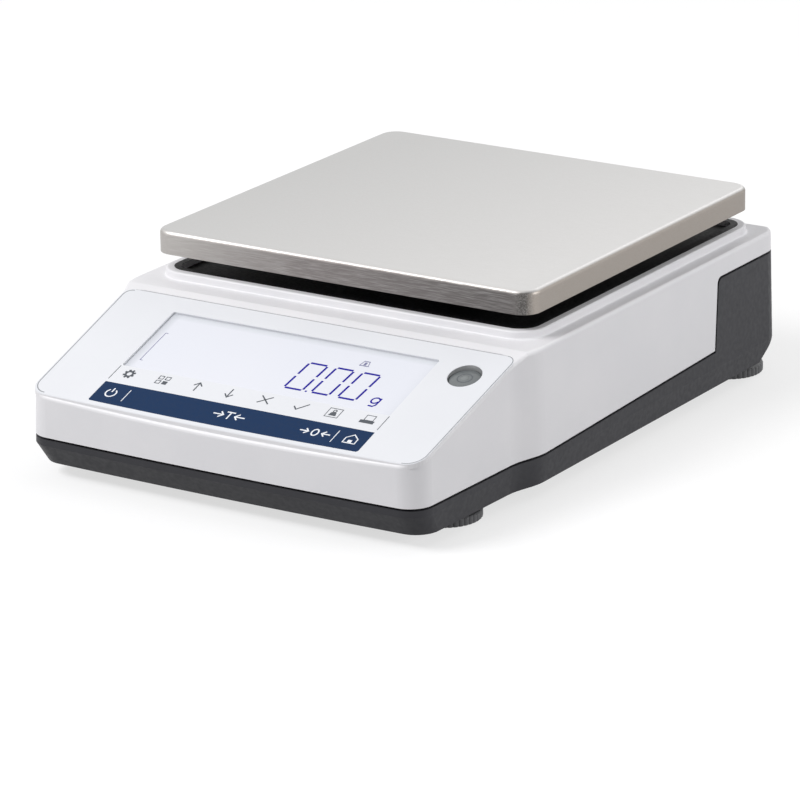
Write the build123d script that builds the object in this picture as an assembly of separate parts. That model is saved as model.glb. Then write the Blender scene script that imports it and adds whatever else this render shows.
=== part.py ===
"""Top loading precision balance: a white housing with a sloping touch terminal on a dark
cast base, a folded stainless pan, and a guided load receiver with lever, coil and magnet."""
from build123d import *
from math import atan, cos, degrees, pi, radians, sin, sqrt
import os

# All lengths are millimetres. X is to the right, Y to the back, Z up; Z = 0 is the table.

# Weighing pan
pan_width = 180.0
pan_centre_y = 37.7
pan_skirt = 9.8
pan_gauge = 1.2
pan_corner = 8.0
pan_fold = 2.0
pan_gap = 7.2

# Weighing cell, with depths counted back from the pan centre
receiver_half = (16.0, 9.0)
receiver_z = (15.0, 47.0)
guide_half = 18.0
guide_gauge = 3.5
guide_necks = (10.5, 47.5)
guide_window_half = 9.0
guide_window_margin = 5.5
neck_web = 0.6
neck_gap = 0.1
frame_half = 20.0
frame_gauge = 8.0
frame_y = (guide_necks[1] + 1.5, guide_necks[1] + 1.5 + frame_gauge)
frame_slot_half = 7.0
frame_slot_z = (31.0, 43.4)
frame_plate_gauge = 3.5
console_half = 9.0
console_z = (22.0, 30.0)
fulcrum_y = 24.0
fulcrum_z = 32.0
coupling_y = 13.5
link_half = 5.0
link_gauge = 3.0
nose_z = (19.7, 23.7)
lever_half = 5.0
lever_z = (33.6, 39.6)
lever_windows = ((29.0, 38.0), (42.0, 51.0))
travel = 0.5
cell_screw_x = 15.0
cell_screw_radius = 2.4
cell_screw_head = (4.2, 2.3)
screw_sink = 0.3

# Magnet and coil, behind the frame
pot_radius = 12.0
pot_height = 17.0
pot_wall = 1.7
pot_floor = 3.0
magnet_y = frame_y[1] + 1.0 + pot_radius
pot_bore = pot_radius - pot_wall
core_radius = 6.6
core_sink = 1.0
former_radius = (7.6, 8.4)
former_low_z = 22.5
former_disc = 1.8
coil_radius = 9.5
coil_z = (23.0, 29.0)

# Light barrier at the lever's end, which is also the rear end of the cell
cell_reach = magnet_y + pot_radius + 3.6
sensor_half = 7.0
sensor_gauge = 3.0
sensor_top_z = 41.5
sensor_slot_half = 1.8
sensor_slot_z = 32.5
sensor_recess_z = (18.0, 29.0)
sensor_wall = 1.5
lever_end_y = cell_reach - sensor_gauge - 1.0
flag_half = 0.6
flag_end_y = cell_reach - 0.8
flag_z = (35.4, 37.8)
frame_plate_y = (guide_necks[1] - 1.5, cell_reach)
cell_screw_y = (frame_y[0] + 1.0, cell_reach - 7.6)

# Plan of the body
body_half = pan_width / 2 + 8.2
neck_half = body_half - 5.5
rear_y = pan_centre_y + cell_reach + 16.7
slope_top_y = pan_centre_y - pan_width / 2 - 10.0
front_y = slope_top_y - 77.7
front_bow = 1.5
front_corner = 10.0
rear_corner = 11.5
neck_flare = 0.031
step_front_y = slope_top_y - 11.7
step_rear_y = slope_top_y + 8.3
side_draft = 0.0276

# Heights of the body
base_bottom_z = 6.1
base_rim_z = 15.0
seam_z = 18.1
seam_rise = 0.0296
deck_z = 61.6
panel_slope = 0.335
rear_lean_z = 39.0
rear_lean_radius = 96.0
rear_bevel_z = 20.0
rear_bevel_run = 17.3
front_bevel = 3.0
top_edge_radius = 1.6

# Base outline at the bottom edge, inside the seam outline by these amounts
base_side_inset = 1.3
base_front_inset = 6.0
upright_front_y = rear_y - 57.6
upright_lean = 3.5
upright_top_z = deck_z - 8.8
upright_corner = 3.0

# Walls and gaps of the housings
top_wall = 2.5
wall_bite = 0.5
base_wall = 4.2
base_floor = 3.0
floor_z = base_bottom_z + base_floor
frame_plate_z = (floor_z + 1.4, floor_z + 1.4 + frame_plate_gauge)
seam_gap = 1.0
tongue_height = 3.0
tongue_clearance = 0.3
rib_gauge = 2.4
rib_height = 3.0
rib_x = 45.0
rib_y = (slope_top_y, slope_top_y + 62.0)

# Rim round the pan
lip_half = body_half - 8.4
lip_front_y = slope_top_y + 10.7
lip_rear_y = rear_y - 8.5
lip_corner = 12.0
lip_height = 3.4
lip_top_z = deck_z + lip_height
lip_edge_radius = 0.9
lip_run = 0.3
lip_foot_radius = 0.8
lip_width = 6.4
recess_half = lip_half - lip_width
recess_front_y = lip_front_y + lip_width
recess_rear_y = lip_rear_y - lip_width
recess_corner = lip_corner - lip_width
ledge_width = 5.0
plate_gauge = 2.0
plate_top_z = lip_top_z - 2.2
plate_clearance = 0.4
plate_hole_radius = 14.0
plate_collar = (2.0, 0.8)

# Touch panel on the slope
panel_half = neck_half - 2.4
panel_rear_y = slope_top_y - 4.0
panel_front_y = front_y + 3.4
panel_gauge = 1.4
panel_clearance = 0.15
panel_corner = 5.0
panel_bow = 1.4
window_half = panel_half - 27.0
window_rear_y = panel_rear_y - 9.7
window_front_y = panel_front_y + 24.0
window_depth = 0.7
window_corner = 1.0
window_shelf = 1.5
level_x = panel_half - 11.7
level_y = panel_rear_y - 16.2
level_radius = 6.9
level_sink = 2.8
level_depth = 9.0
level_wall = 1.0
level_dome = 1.0

# Display unit under the slope
lcd_half = window_half + 2.7
lcd_margin = 2.0
lcd_gauge = 2.0
lcd_depth = 4.2
lcd_rim = 3.0
board_depth = 9.0
board_gauge = 1.6
display_board_half = panel_half - 16.3
display_board_y = (panel_front_y + 6.0, panel_rear_y - 4.0)
display_screw_x = display_board_half - 4.0
display_screw_y = (display_board_y[1] - 1.7, display_board_y[0] + 2.6)
display_boss_radius = 3.0

# Chips as (x, y, width, depth, height), placed from the middle of their board
display_chips = ((0.0, 18.0, 24.0, 12.0, 2.5), (-44.0, 2.0, 12.0, 12.0, 1.6), (36.0, 6.0, 12.0, 12.0, 1.6))
main_chips = (
    (-27.0, -17.0, 18.0, 18.0, 1.8), (-1.0, -11.0, 14.0, 14.0, 1.4),
    (32.0, -13.0, 16.0, 34.0, 9.0), (0.0, 30.5, 26.0, 5.0, 4.0),
)
capacitor_count = 4
capacitor_pitch = 9.0
capacitor_start = (-42.0, 14.0)
capacitor_size = (3.4, 8.0)

# Levelling feet
foot_front = (neck_half - 17.3, front_y + 46.9)
foot_rear = (body_half - 17.3, rear_y - 15.9)
foot_radius = 15.0
foot_bottom_z = 0.3
foot_top_z = 3.9
foot_chamfer = 0.3
foot_notches = 18
foot_notch_radius = 0.8
foot_stud_radius = 4.0
foot_stud_length = 16.0
sole_radius = 11.5
sole_top_z = 1.6
sole_pin_radius = 2.5
sole_pin_top_z = 2.8
boss_radius = 9.0
boss_bottom_z = foot_top_z + 0.5
boss_front_top_z = 16.0
boss_rear_top_z = 21.0
bush_radius = 6.5
bush_top_z = 15.0
running_clearance = 0.06
sole_clearance = 0.3

# Load cone, pan support and buffers
pan_top_z = lip_top_z + pan_gap + pan_skirt
buffer_height = 4.8
support_top_z = pan_top_z - pan_gauge - buffer_height
support_depth = 3.5
support_z = (support_top_z - support_depth, support_top_z)
hub_drop = 5.5
hub_low_z = support_z[0] - hub_drop
cone_radius = 5.0
cone_sink = 2.0
cone_flange = (9.0, 3.0)
cone_tip = (2.5, 1.5)
collar_radius = 8.0
collar_height = 3.5
support_half = pan_width / 2 - 18.0
support_corner = 10.0
support_hub_radius = 10.0
support_rim = 2.5
support_gauge = 1.8
support_rib = 3.0
buffer_offset = support_half - 8.0
buffer_radius = 6.0
buffer_stem_radius = 2.0

# Overload stops and the passage for a weighing hook
stop_x = 11.0
stop_radius = 2.5
stop_margin = 0.1
stop_seat = 2.0
hook_thread_radius = 2.0
hook_thread_depth = 9.0
hook_hole_radius = 11.0
cover_half = 13.0
cover_corner = 5.0
cover_z = (base_bottom_z - 1.6, base_bottom_z - 0.2)
cover_pivot_x = cover_half + 4.0
cover_tail = 6.0
cover_screw_radius = 1.6
cover_screw_head = (3.4, 1.1)

# Main board in the front of the base
main_board_half = neck_half - 36.7
main_board_y = (front_y + 28.0, slope_top_y + 42.3)
main_board_z = floor_z + 4.9
board_screw_x = main_board_half - 6.0
board_screw_y = (main_board_y[0] + 6.0, main_board_y[1] - 6.0)
board_screw_radius = 1.5
board_screw_head = (2.8, 1.8)
standoff_radius = 3.5

# Sockets in the rear wall
socket_z = 33.0
io_board_x = (-62.0, 56.0)
io_board_y = rear_y - 11.5
io_board_z = (socket_z - 9.0, socket_z + 11.0)
socket_face_y = rear_y - 0.6
socket_clearance = 0.4
serial_x = -32.0
serial_shell = (16.8, 8.4)
serial_shell_corner = 2.4
serial_body = (31.0, 12.5)
serial_depth = 5.4
serial_pitch = (2.76, 2.84)
serial_pin = (0.55, 5.0)
jackscrew_pitch = 25.0
jackscrew_radius = 2.5
jackscrew_bore = (1.4, 3.0)
usb_b_x = 0.0
usb_b_size = (12.0, 11.0)
usb_b_cavity = (8.6, 7.8)
usb_b_tongue = (5.6, 3.2)
usb_a_x = 20.0
usb_a_size = (13.2, 6.0)
usb_a_cavity = (12.4, 5.2)
usb_a_tongue = (11.2, 1.9)
plug_depth = 7.0
tongue_sink = 0.7
power_x = 42.0
power_size = (14.0, 11.0)
power_bore = 3.1
power_pin = 1.0
power_depth = 8.0
lock_x = 64.0
lock_slot = (7.0, 3.0)

# Housing screws
housing_screws = [
    (neck_half - 12.2, front_y + 19.0), (body_half - 10.7, step_rear_y + 16.0),
    (body_half - 10.7, rear_y - 38.0),
]
screw_radius = 2.0
screw_head = (3.8, 2.6)
screw_cover = 7.9
pillar_radius = 3.8
pillar_bottom_z = seam_z + 2.9
screw_boss_radius = 5.4
screw_boss_top_z = pillar_bottom_z - 0.5
screw_seat_z = floor_z + 1.9
hole_clearance = 0.1
head_clearance = 0.3


def block(x, y, z):
    """Box between the given low and high limits."""
    size = Box(x[1] - x[0], y[1] - y[0], z[1] - z[0])
    return Pos((x[0] + x[1]) / 2, (y[0] + y[1]) / 2, (z[0] + z[1]) / 2) * size


def rod(x, y, low, high, radius):
    """Upright round bar."""
    return Pos(x, y, (low + high) / 2) * Cylinder(radius, high - low)


def rounded_plate(half_x, y, z, corner):
    """Plate with round upright corners, centred on X = 0."""
    face = Rectangle(2 * half_x, y[1] - y[0])
    face = fillet(face.vertices(), corner)
    return extrude(Pos(0, (y[0] + y[1]) / 2, z[0]) * face, z[1] - z[0])


# Plan outlines

def plan_face(z, half, neck, front, rear, bow, corner):
    """Closed plan outline: bowed front, flared neck, soft step to the wide body."""
    corner_y = front + bow
    step_x = neck + neck_flare * (step_front_y - front - corner)
    front_x = neck - neck_flare * corner
    right = [(front_x, corner_y), (step_x, step_front_y), (half, step_rear_y), (half, rear)]
    left = [(-x, y) for x, y in right]
    flare_tangent = (step_x - front_x, step_front_y - corner_y)
    edges = [
        ThreePointArc(left[0], (0, front), right[0]),
        Line(right[0], right[1]),
        Spline(right[1], right[2], tangents=[flare_tangent, (0, 1)]),
        Line(right[2], right[3]),
        Line(right[3], left[3]),
        Line(left[3], left[2]),
        Spline(left[2], left[1], tangents=[(0, -1), (flare_tangent[0], -flare_tangent[1])]),
        Line(left[1], left[0]),
    ]
    face = make_face(edges)
    by_depth = face.vertices().sort_by(Axis.Y)
    face = fillet(by_depth[:2], corner)
    by_depth = face.vertices().sort_by(Axis.Y)
    face = fillet(by_depth[-2:], rear_corner)
    return Pos(0, 0, z) * face


def body_face(z, inset):
    """Outline of the drafted body walls at height z, moved inwards by inset."""
    shift = inset + side_draft * max(z - seam_z, 0)
    return plan_face(z, body_half - shift, neck_half - shift, front_y + shift, rear_y - inset,
                     front_bow, front_corner - inset)


def body_block(inset, low, high):
    """Drafted block inside the body walls."""
    return loft([body_face(low, inset), body_face(high, inset)], ruled=True)


def base_block(inset, low, high):
    """Lower part of the base, where the walls run in towards the table."""
    rim = body_face(high, inset)
    foot = plan_face(low, body_half - base_side_inset - inset, neck_half - base_side_inset - inset,
                     front_y + base_front_inset + inset, rear_y - inset, front_bow,
                     front_corner - inset)
    return loft([foot, rim], ruled=True)


# Side profiles, as (y, z) outlines

slope_angle = degrees(atan(panel_slope))
slope_stretch = sqrt(1 + panel_slope ** 2)
panel_plane_z = deck_z - panel_slope * slope_top_y
bevel_rate = rear_bevel_run / (rear_bevel_z - base_bottom_z)
bevel_stretch = sqrt(1 + bevel_rate ** 2)
bevel_steepness = 1.35
bevel_shift = 0.6
bevel_reach = 10.0
far = 200.0


def slope_z(y, inset=0.0):
    """Height of the sloping terminal surface, or of a plane below it by inset."""
    return panel_slope * y + panel_plane_z - inset * slope_stretch


def side_prism(face):
    """Prism along X, wider than the body, from a face drawn in (y, z)."""
    return extrude(Plane.YZ.offset(-far / 2) * face, far, dir=(1, 0, 0))


def body_profile(inset):
    """Prism with the side view of the whole body: bevelled front, slope, deck, leaning back."""
    lean_radius = rear_lean_radius - inset
    lean_y = rear_y - rear_lean_radius
    top_z = deck_z - inset
    lean_height = top_z - rear_lean_z
    rear_top = (lean_y + sqrt(lean_radius ** 2 - lean_height ** 2), top_z)
    lean_middle = (lean_y + sqrt(lean_radius ** 2 - lean_height ** 2 / 4), rear_lean_z + lean_height / 2)
    rear_wall = rear_y - inset
    bevel_top = rear_bevel_z + inset * (bevel_stretch - 1) / bevel_rate
    bevel_foot = rear_wall - bevel_rate * bevel_top
    bevel_y = front_y + front_bevel + inset * bevel_shift
    outline = [
        (bevel_y - bevel_reach, 0),
        (bevel_y - bevel_reach, slope_z(bevel_y, inset) - bevel_reach * bevel_steepness),
        (bevel_y, slope_z(bevel_y, inset)),
        ((top_z - panel_plane_z + inset * slope_stretch) / panel_slope, top_z), rear_top,
    ]
    edges = [Line(outline[i], outline[i + 1]) for i in range(len(outline) - 1)]
    edges += [
        ThreePointArc(rear_top, lean_middle, (rear_wall, rear_lean_z)),
        Line((rear_wall, rear_lean_z), (rear_wall, bevel_top)),
        Line((rear_wall, bevel_top), (bevel_foot, 0)),
        Line((bevel_foot, 0), outline[0]),
    ]
    return side_prism(make_face(edges))


def seam_profile(shift):
    """Prism with everything on the base's side of the seam, with the seam moved up by shift."""
    seam_rear_z = seam_z + seam_rise * (upright_front_y - step_rear_y)
    points = [
        (-far, -far), (-far, seam_z + shift), (step_rear_y, seam_z + shift),
        (upright_front_y - shift, seam_rear_z + shift),
        (upright_front_y + upright_lean - shift, upright_top_z + shift),
        (far, upright_top_z + shift), (far, -far),
    ]
    face = Polygon(*points, align=None)
    corner = face.vertices().sort_by_distance((points[4][0], points[4][1], 0))[0]
    face = fillet([corner], upright_corner)
    return side_prism(face)


panel_plane = Plane(
    origin=(0, panel_rear_y, slope_z(panel_rear_y)), x_dir=(1, 0, 0),
    z_dir=(0, -sin(radians(slope_angle)), cos(radians(slope_angle))),
)


def down(y):
    """Place along the slope, from the panel's rear edge, of a point at depth y."""
    return (y - panel_rear_y) * slope_stretch


def on_panel(x, y, depth):
    """Box in the sloping frame: x and plan y limits, and depth limits below the surface."""
    return panel_plane * block(x, (down(y[0]), down(y[1])), (-depth[1], -depth[0]))


def panel_post(x, y, depth, radius):
    """Round bar square to the slope."""
    return panel_plane * rod(x, down(y), -depth[1], -depth[0], radius)


def panel_face(margin):
    """Outline of the touch panel, grown by margin, with a bowed front edge."""
    half = panel_half + margin
    rear = down(panel_rear_y) + margin
    front = down(panel_front_y) - margin
    side = front + panel_bow
    face = make_face([
        ThreePointArc((-half, side), (0, front), (half, side)),
        Line((half, side), (half, rear)),
        Line((half, rear), (-half, rear)),
        Line((-half, rear), (-half, side)),
    ])
    return fillet(face.vertices(), panel_corner + margin)


def window_face(margin):
    """Outline of the display window, grown by margin."""
    low, high = down(window_front_y) - margin, down(window_rear_y) + margin
    face = Rectangle(2 * (window_half + margin), high - low)
    face = fillet(face.vertices(), window_corner + max(margin, 0))
    return Pos(0, (low + high) / 2) * face


def panel_slab(face, depth):
    """Plate in the sloping frame between two depths below the surface."""
    return panel_plane * extrude(Pos(0, 0, -depth[1]) * face, depth[1] - depth[0])


level_top_z = slope_z(level_y) - level_sink
level_low_z = level_top_z - level_depth
level_hole = rod(level_x, level_y, level_low_z, deck_z, level_radius)
screw_top_z = slope_z(housing_screws[0][1]) - screw_cover


def both_sides(places):
    """The given (x, y) places and their mirror images."""
    return [(side * x, y) for x, y in places for side in (-1, 1)]


foot_places = {
    "front_left": (-foot_front[0], foot_front[1]),
    "front_right": foot_front,
    "rear_left": (-foot_rear[0], foot_rear[1]),
    "rear_right": foot_rear,
}


# Base housing

rear_wall = (rear_y - base_wall - 1, rear_y + 1)


def wall_window(x, size):
    """Opening through the rear wall for a socket face."""
    half = size[0] / 2 + socket_clearance
    height = size[1] / 2 + socket_clearance
    return block((x - half, x + half), rear_wall, (socket_z - height, socket_z + height))


def cell_screw_places():
    """Places of the screws that hold the weighing cell down."""
    return [(x, pan_centre_y + y) for x in (-cell_screw_x, cell_screw_x) for y in cell_screw_y]


def board_screw_places():
    """Places of the screws of the main board."""
    return [(x, y) for x in (-board_screw_x, board_screw_x) for y in board_screw_y]


def floor_ribs():
    """Low stiffening ribs on the floor, lengthwise and across."""
    z = (floor_z - 1, floor_z + rib_height)
    half = rib_gauge / 2
    ribs = block((-rib_x - half, -rib_x + half), (front_y, rear_y), z)
    ribs += block((rib_x - half, rib_x + half), (front_y, rear_y), z)
    for y in rib_y:
        ribs += block((-body_half, body_half), (y - half, y + half), z)
    return ribs


cell_screw_seat_z = base_bottom_z + screw_sink + cell_screw_head[1]
cover_thread_z = floor_z - 1.0
stop_low_z = floor_z - stop_seat


def make_bottom_housing():
    high = upright_top_z + tongue_height + 2
    outer = base_block(0, base_bottom_z, base_rim_z) + body_block(0, base_rim_z, high)
    outer = outer & body_profile(0) & seam_profile(-seam_gap / 2)
    inset = top_wall + tongue_clearance
    tongue = body_block(inset, base_rim_z, high) & body_profile(inset) & seam_profile(tongue_height)
    cavity = base_block(base_wall, base_bottom_z, base_rim_z) + body_block(base_wall, base_rim_z, high + 5)
    cavity = cavity & body_profile(base_wall) & block((-far, far), (-far, far), (floor_z, far))
    shell = outer + tongue - cavity + (floor_ribs() & outer)
    for x, y in both_sides(housing_screws):
        shell += rod(x, y, base_bottom_z, screw_boss_top_z, screw_boss_radius)
    for place in board_screw_places():
        shell += rod(*place, floor_z, main_board_z, standoff_radius)
    for place in cell_screw_places():
        shell += rod(*place, floor_z - 1, frame_plate_z[0], screw_boss_radius)
    shell = shell & body_profile(0)
    for name, (x, y) in foot_places.items():
        top = boss_rear_top_z if name.startswith("rear") else boss_front_top_z
        shell += rod(x, y, boss_bottom_z, top, boss_radius)
        shell -= rod(x, y, 0, boss_rear_top_z + 1, bush_radius)
    for x, y in both_sides(housing_screws):
        shell -= rod(x, y, 0, screw_seat_z, screw_head[0] + head_clearance)
        shell -= rod(x, y, 0, screw_boss_top_z + 1, screw_radius + hole_clearance)
    for place in board_screw_places():
        shell -= rod(*place, floor_z + 1, main_board_z + 1, board_screw_radius + hole_clearance)
    for place in cell_screw_places():
        shell -= rod(*place, 0, cell_screw_seat_z, cell_screw_head[0] + head_clearance)
        shell -= rod(*place, 0, frame_plate_z[0] + 1, cell_screw_radius + hole_clearance)
    shell -= rod(0, pan_centre_y, 0, floor_z + 1, hook_hole_radius)
    for side in (-1, 1):
        shell -= rod(side * stop_x, pan_centre_y, stop_low_z, floor_z + 1, stop_radius)
    shell -= rod(cover_pivot_x, pan_centre_y, 0, cover_thread_z + 0.2, cover_screw_radius)
    shell -= wall_window(serial_x, serial_shell)
    for side in (-1, 1):
        place = serial_x + side * jackscrew_pitch / 2
        shell -= back_rod(place, rear_wall, jackscrew_radius + socket_clearance)
    shell -= wall_window(usb_b_x, usb_b_size)
    shell -= wall_window(usb_a_x, usb_a_size)
    shell -= back_rod(power_x, rear_wall, power_size[1] / 2 + socket_clearance)
    lock = (lock_x - lock_slot[0] / 2, lock_x + lock_slot[0] / 2)
    return shell - block(lock, rear_wall, (socket_z - lock_slot[1] / 2, socket_z + lock_slot[1] / 2))


def back_rod(x, y, radius, z=socket_z):
    """Round bar along Y at socket height."""
    bar = Rot(90, 0, 0) * Cylinder(radius, y[1] - y[0])
    return Pos(x, (y[0] + y[1]) / 2, z) * bar


# Top housing

def lip_outline(grow, z):
    """Outline of the rim round the pan, grown outwards."""
    face = Rectangle(2 * (lip_half + grow), lip_rear_y - lip_front_y + 2 * grow)
    face = fillet(face.vertices(), lip_corner + grow)
    return Pos(0, (lip_front_y + lip_rear_y) / 2, z) * face


def on_lip(edge):
    """True for an edge where the rim's wall stands on the deck."""
    point = edge @ 0.5
    reach = lip_run + 0.1
    beside = abs(point.X) < lip_half + reach
    return beside and lip_front_y - reach < point.Y < lip_rear_y + reach and abs(point.Z - deck_z) < 0.01


def make_top_housing():
    outer = body_block(0, seam_z - 1, deck_z + 1) & body_profile(0)
    outer -= seam_profile(seam_gap / 2)
    top_edges = [edge for edge in outer.edges() if on_top(edge @ 0.5) and not crosses(edge)]
    outer = fillet(top_edges, top_edge_radius)
    lip = loft([lip_outline(lip_run, deck_z), lip_outline(0, lip_top_z)], ruled=True)
    lip = fillet(lip.faces().sort_by(Axis.Z)[-1].edges(), lip_edge_radius)
    outer += lip
    outer = fillet([edge for edge in outer.edges() if on_lip(edge)], lip_foot_radius)
    cavity = body_block(top_wall, seam_z - 5, deck_z) & body_profile(top_wall)
    shell = outer - cavity
    recess_y = (recess_front_y, recess_rear_y)
    opening_y = (recess_front_y + ledge_width, recess_rear_y - ledge_width)
    shell -= rounded_plate(recess_half, recess_y, (plate_top_z - plate_gauge, lip_top_z + 1), recess_corner)
    shell -= rounded_plate(recess_half - ledge_width, opening_y, (deck_z - 5, lip_top_z), recess_corner)
    shell -= panel_slab(panel_face(panel_clearance), (-1, panel_gauge))
    shell -= panel_slab(window_face(-window_shelf), (0, top_wall + 1))
    for x, y in both_sides(housing_screws):
        shell += rod(x, y, pillar_bottom_z, far, pillar_radius) & solid_inside(top_wall - wall_bite)
        shell -= rod(x, y, pillar_bottom_z - 1, screw_top_z + 1, screw_radius + hole_clearance / 2)
    for x, y in display_screw_places():
        shell += panel_post(x, y, (top_wall - wall_bite, board_depth), display_boss_radius)
        thread = (top_wall + wall_bite, board_depth + 1)
        shell -= panel_post(x, y, thread, board_screw_radius + hole_clearance)
    cup = level_radius + level_wall
    shell += rod(level_x, level_y, level_low_z, far, cup) & solid_inside(top_wall - wall_bite)
    return shell - level_hole


def display_screw_places():
    """Places of the screws of the display board."""
    return [(x, y) for x in (-display_screw_x, display_screw_x) for y in display_screw_y]


def solid_inside(inset):
    """Full body shape above the seam, moved inwards by inset."""
    return body_block(inset, seam_z - 5, deck_z) & body_profile(inset)


def on_top(point):
    """True for a point on the outside edge of the slope, the front bevel or the deck."""
    if abs(point.Z - deck_z) < 0.01:
        return True
    if point.Z > deck_z - 0.01:
        return False
    if abs(point.Z - slope_z(point.Y)) < 0.01:
        return True
    bevel_y = front_y + front_bevel
    bevel_z = slope_z(bevel_y) + (point.Y - bevel_y) * bevel_steepness
    return point.Y < bevel_y and abs(point.Z - bevel_z) < 0.01


def crosses(edge):
    """True for an edge that runs from one side of the body to the other over the top."""
    start, end = edge @ 0, edge @ 1
    straight = abs(start.Y - end.Y) < 0.01 and abs(start.Z - end.Z) < 0.01
    return straight and start.Y < step_rear_y


# Panel and display

def make_touch_panel():
    plate = panel_slab(panel_face(0), (0, panel_gauge))
    plate -= panel_slab(window_face(0), (-1, panel_gauge + 1))
    return plate - level_hole


def make_display_window():
    return panel_slab(window_face(-panel_clearance), (window_depth, panel_gauge))


def lcd_span(margin):
    """Plan y limits of the display unit."""
    return (window_front_y - lcd_margin + margin, window_rear_y + lcd_margin - margin)


def make_lcd_frame():
    top = top_wall + hole_clearance
    frame = on_panel((-lcd_half, lcd_half), lcd_span(0), (top, top + lcd_depth))
    inner = lcd_half - lcd_rim
    frame -= on_panel((-inner, inner), lcd_span(lcd_rim), (top - 1, top + lcd_gauge + socket_clearance))
    for x in (-lcd_half + lcd_rim, lcd_half - lcd_rim):
        for y in lcd_span(lcd_rim):
            frame += panel_post(x, y, (top + lcd_depth - 1, board_depth), lcd_rim / 2)
    return frame


def make_lcd_glass():
    top = top_wall + hole_clearance
    inner = lcd_half - lcd_rim - hole_clearance
    return on_panel((-inner, inner), lcd_span(lcd_rim + hole_clearance), (top, top + lcd_gauge))


def make_display_board():
    below = board_depth + board_gauge
    board = on_panel((-display_board_half, display_board_half), display_board_y, (board_depth, below))
    for x, y in display_screw_places():
        board -= panel_post(x, y, (0, below + 1), board_screw_radius + hole_clearance)
    board -= rod(level_x, level_y, 0, far, level_radius + 2 * level_wall)
    middle = (display_board_y[0] + display_board_y[1]) / 2
    for x, y, width, depth, height in display_chips:
        chip = (middle + y - depth / 2, middle + y + depth / 2)
        board += on_panel((x - width / 2, x + width / 2), chip, (below, below + height))
    return board


def make_display_screws():
    screws = []
    low = board_depth + board_gauge
    for x, y in display_screw_places():
        shank = panel_post(x, y, (top_wall + 1, low), board_screw_radius)
        head = panel_post(x, y, (low, low + board_screw_head[1]), board_screw_head[0])
        screws.append(shank + head)
    return screws


def make_level_body():
    radius = level_radius - hole_clearance
    cup = rod(level_x, level_y, level_low_z, level_top_z, radius)
    return cup - rod(level_x, level_y, level_low_z + level_wall, level_top_z + 1, radius - level_wall)


def make_level_glass():
    radius = level_radius - 2 * hole_clearance - level_wall
    glass = rod(level_x, level_y, level_low_z + level_wall, level_top_z - level_wall / 3, radius)
    return fillet(glass.faces().sort_by(Axis.Z)[-1].edges(), level_dome)


# Parts under the pan

def make_draught_plate():
    half = recess_half - plate_clearance
    span = (recess_front_y + plate_clearance, recess_rear_y - plate_clearance)
    low = plate_top_z - plate_gauge
    plate = rounded_plate(half, span, (low, plate_top_z), recess_corner - plate_clearance)
    plate += rod(0, pan_centre_y, low, plate_top_z + plate_collar[1], plate_hole_radius + plate_collar[0])
    return plate - rod(0, pan_centre_y, low - 1, far, plate_hole_radius)


def square(half, low, high, corner):
    """Rounded square plate centred under the pan."""
    return rounded_plate(half, (pan_centre_y - half, pan_centre_y + half), (low, high), corner)


def make_pan():
    half = pan_width / 2
    low = pan_top_z - pan_skirt
    pan = square(half, low, pan_top_z, pan_corner)
    pan = fillet(pan.faces().sort_by(Axis.Z)[-1].edges(), pan_fold)
    inner_top = pan_top_z - pan_gauge
    hollow = square(half - pan_gauge, low - 1, inner_top, pan_corner - pan_gauge)
    hollow = fillet(hollow.faces().sort_by(Axis.Z)[-1].edges(), pan_fold - pan_gauge)
    return pan - hollow


def make_pan_support():
    low, high = support_z
    plate = square(support_half, low, high, support_corner)
    plate -= square(support_half - support_rim, low + support_gauge, high + 1, support_corner - support_rim)
    reach = buffer_offset * sqrt(2)
    rib_middle = (low + high - support_gauge / 3) / 2
    for angle in (45, 135):
        rib = Rot(0, 0, angle) * Box(2 * reach, support_rib, high - low - support_gauge / 3)
        plate += Pos(0, pan_centre_y, rib_middle) * rib
    for x, y in buffer_places():
        plate += rod(x, y, low, high, buffer_radius + 1)
    plate += rod(0, pan_centre_y, hub_low_z, high, support_hub_radius)
    for x, y in buffer_places():
        plate -= rod(x, y, low - 1, high + 1, buffer_stem_radius)
    return plate - rod(0, pan_centre_y, hub_low_z - 1, high + 1, cone_radius + running_clearance)


def buffer_places():
    """Centres of the four rubber buffers."""
    offsets = (-buffer_offset, buffer_offset)
    return [(x, pan_centre_y + y) for x in offsets for y in offsets]


def make_buffers():
    buffers = []
    for x, y in buffer_places():
        head = rod(x, y, support_z[1], pan_top_z - pan_gauge, buffer_radius)
        stem = rod(x, y, support_z[0] - 1, support_z[1], buffer_stem_radius)
        buffers.append(head + stem)
    return buffers


def make_load_cone():
    base_z = receiver_z[1]
    cone = rod(0, pan_centre_y, base_z, support_z[1] - cone_sink, cone_radius)
    cone = chamfer(cone.faces().sort_by(Axis.Z)[-1].edges(), *cone_tip)
    cone += rod(0, pan_centre_y, base_z, base_z + cone_flange[1], cone_flange[0])
    return cone + rod(0, pan_centre_y, hub_low_z - collar_height, hub_low_z, collar_radius)


# Weighing cell: one block divided at its thin flexure necks

def cell_block(half, y, z):
    """Block of the cell, with y counted back from the pan centre."""
    return block((-half, half), (pan_centre_y + y[0], pan_centre_y + y[1]), z)


def cell_notch(half, y, z, radius):
    """Round notch along X."""
    bar = Rot(0, 90, 0) * Cylinder(radius, 2 * half + 2)
    return Pos(0, pan_centre_y + y, z) * bar


guide_levels = {"lower": receiver_z[0], "upper": receiver_z[1] - guide_gauge}


def guide_notches():
    """Notches that leave the four thin necks of the guides."""
    radius = (guide_gauge - neck_web) / 2
    return [
        cell_notch(guide_half, y, low + side * guide_gauge, radius)
        for y in guide_necks for low in guide_levels.values() for side in (0, 1)
    ]


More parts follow.
